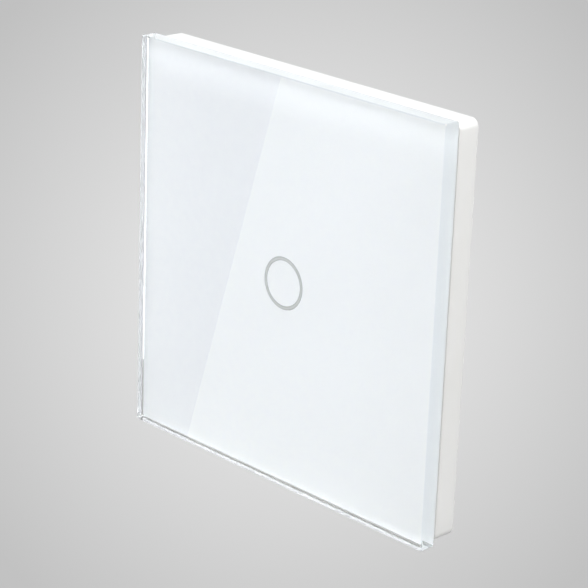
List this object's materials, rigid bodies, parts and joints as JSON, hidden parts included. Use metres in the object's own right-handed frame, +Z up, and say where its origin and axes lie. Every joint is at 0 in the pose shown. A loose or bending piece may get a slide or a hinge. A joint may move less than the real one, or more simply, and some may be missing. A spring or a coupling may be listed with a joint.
{
  "type": "touch light switch",
  "caption": "Square white glass touch switch plate with a grey touch ring, on a white frame that clips onto a shallow in-wall relay module with screw terminals.",
  "frame": {"origin": "middle between the two wall-box screw slots, in the plane of the wall (the back of the mounting yoke and of the panel frame)", "axes": "+X to the right as seen from the room, +Y into the wall, +Z up"},
  "size_m": [0.086, 0.0265, 0.086],
  "materials": {
    "glass": "clear float glass, polished edges",
    "white_enamel": "screen-printed white enamel",
    "ring_ink": "translucent grey ink",
    "foam_tape": "dark foam tape",
    "white_abs": "fine moulded texture",
    "zinc_steel": "zinc plated sheet",
    "clear_acrylic": "clear moulded",
    "spring_wire": "gold plated wire",
    "circuit_board": "green solder mask",
    "black_epoxy": "moulded epoxy",
    "led_resin": "clear yellowish resin",
    "chip_ceramic": "fired ceramic",
    "black_nylon": "moulded nylon",
    "plated_pin": "gold plated",
    "relay_plastic": "moulded polyester",
    "relay_iron": "nickel plated iron",
    "coil_former": "moulded nylon",
    "copper_wire": "enamelled copper",
    "contact_bronze": "bronze with silver contacts",
    "tinned_pin": "tinned",
    "film_case": "yellow moulded case",
    "capacitor_sleeve": "dark blue sleeve",
    "varistor_coat": "blue epoxy coat",
    "fuse_case": "brown moulded case",
    "ferrite": "dark ferrite",
    "grey_nylon": "moulded nylon",
    "brass": "machined brass",
    "zinc_screw": "zinc plated",
    "white_pc": "moulded polycarbonate"
  },
  "bodies": {
    "module": {"mounting_yoke": "zinc_steel", "front_cover": "white_abs", "light_guide": "clear_acrylic", "touch_spring": "spring_wire", "touch_board": "circuit_board", "touch_chip": "black_epoxy", "indicator_leds": "led_resin", "chip_parts": "chip_ceramic", "header_strip": "black_nylon", "header_pins": "plated_pin", "power_board": "circuit_board", "relay_base": "relay_plastic", "relay_cover": "relay_plastic", "relay_yoke": "relay_iron", "relay_bobbin": "coil_former", "relay_winding": "copper_wire", "relay_fixed_contact": "contact_bronze", "relay_pins": "tinned_pin", "film_capacitor": "film_case", "bulk_capacitor": "capacitor_sleeve", "varistor": "varistor_coat", "fuse": "fuse_case", "choke": "ferrite", "bridge_rectifier": "black_epoxy", "converter_chip": "black_epoxy", "terminal_block": "grey_nylon", "terminal_bars": "brass", "back_housing": "white_pc", "housing_screws": "zinc_screw"},
    "panel": {"glass_panel": "glass", "enamel_backing": "white_enamel", "touch_ring": "ring_ink", "adhesive_tape": "foam_tape", "panel_frame": "white_abs"},
    "live_screw": {"live_screw": "zinc_screw"},
    "neutral_screw": {"neutral_screw": "zinc_screw"},
    "load_screw": {"load_screw": "zinc_screw"},
    "live_cage": {"live_cage": "brass"},
    "neutral_cage": {"neutral_cage": "brass"},
    "load_cage": {"load_cage": "brass"},
    "relay_armature": {"relay_armature": "relay_iron", "relay_blade": "contact_bronze"}
  },
  "joints": [
    {"name": "panel_pull", "type": "slide", "parent": "module", "child": "panel", "axis": [0, -1, 0], "range_m": [0, 0.024]},
    {"name": "live_screw_turn", "type": "hinge", "parent": "module", "child": "live_screw", "pos_m": [-0.0074, 0.016, -0.0185], "axis": [0, -1, 0], "range_deg": [0, 1440]},
    {"name": "live_cage_rise", "type": "slide", "parent": "module", "child": "live_cage", "axis": [0, 1, 0], "range_m": [0, 0.0024]},
    {"name": "neutral_screw_turn", "type": "hinge", "parent": "module", "child": "neutral_screw", "pos_m": [0, 0.016, -0.0185], "axis": [0, -1, 0], "range_deg": [0, 1440]},
    {"name": "neutral_cage_rise", "type": "slide", "parent": "module", "child": "neutral_cage", "axis": [0, 1, 0], "range_m": [0, 0.0024]},
    {"name": "load_screw_turn", "type": "hinge", "parent": "module", "child": "load_screw", "pos_m": [0.0074, 0.016, -0.0185], "axis": [0, -1, 0], "range_deg": [0, 1440]},
    {"name": "load_cage_rise", "type": "slide", "parent": "module", "child": "load_cage", "axis": [0, 1, 0], "range_m": [0, 0.0024]},
    {"name": "relay_close", "type": "hinge", "parent": "module", "child": "relay_armature", "pos_m": [-0.01647, 0.01247, -0.0045], "axis": [0, 0, -1], "range_deg": [0, 5], "stiffness_Nm_per_rad": 0.002, "springref_deg": -5.73}
  ],
  "couplings": [
    {"joint": "live_screw_turn", "follows": "live_cage_rise", "rad_per_m": 10472},
    {"joint": "neutral_screw_turn", "follows": "neutral_cage_rise", "rad_per_m": 10472},
    {"joint": "load_screw_turn", "follows": "load_cage_rise", "rad_per_m": 10472}
  ]
}
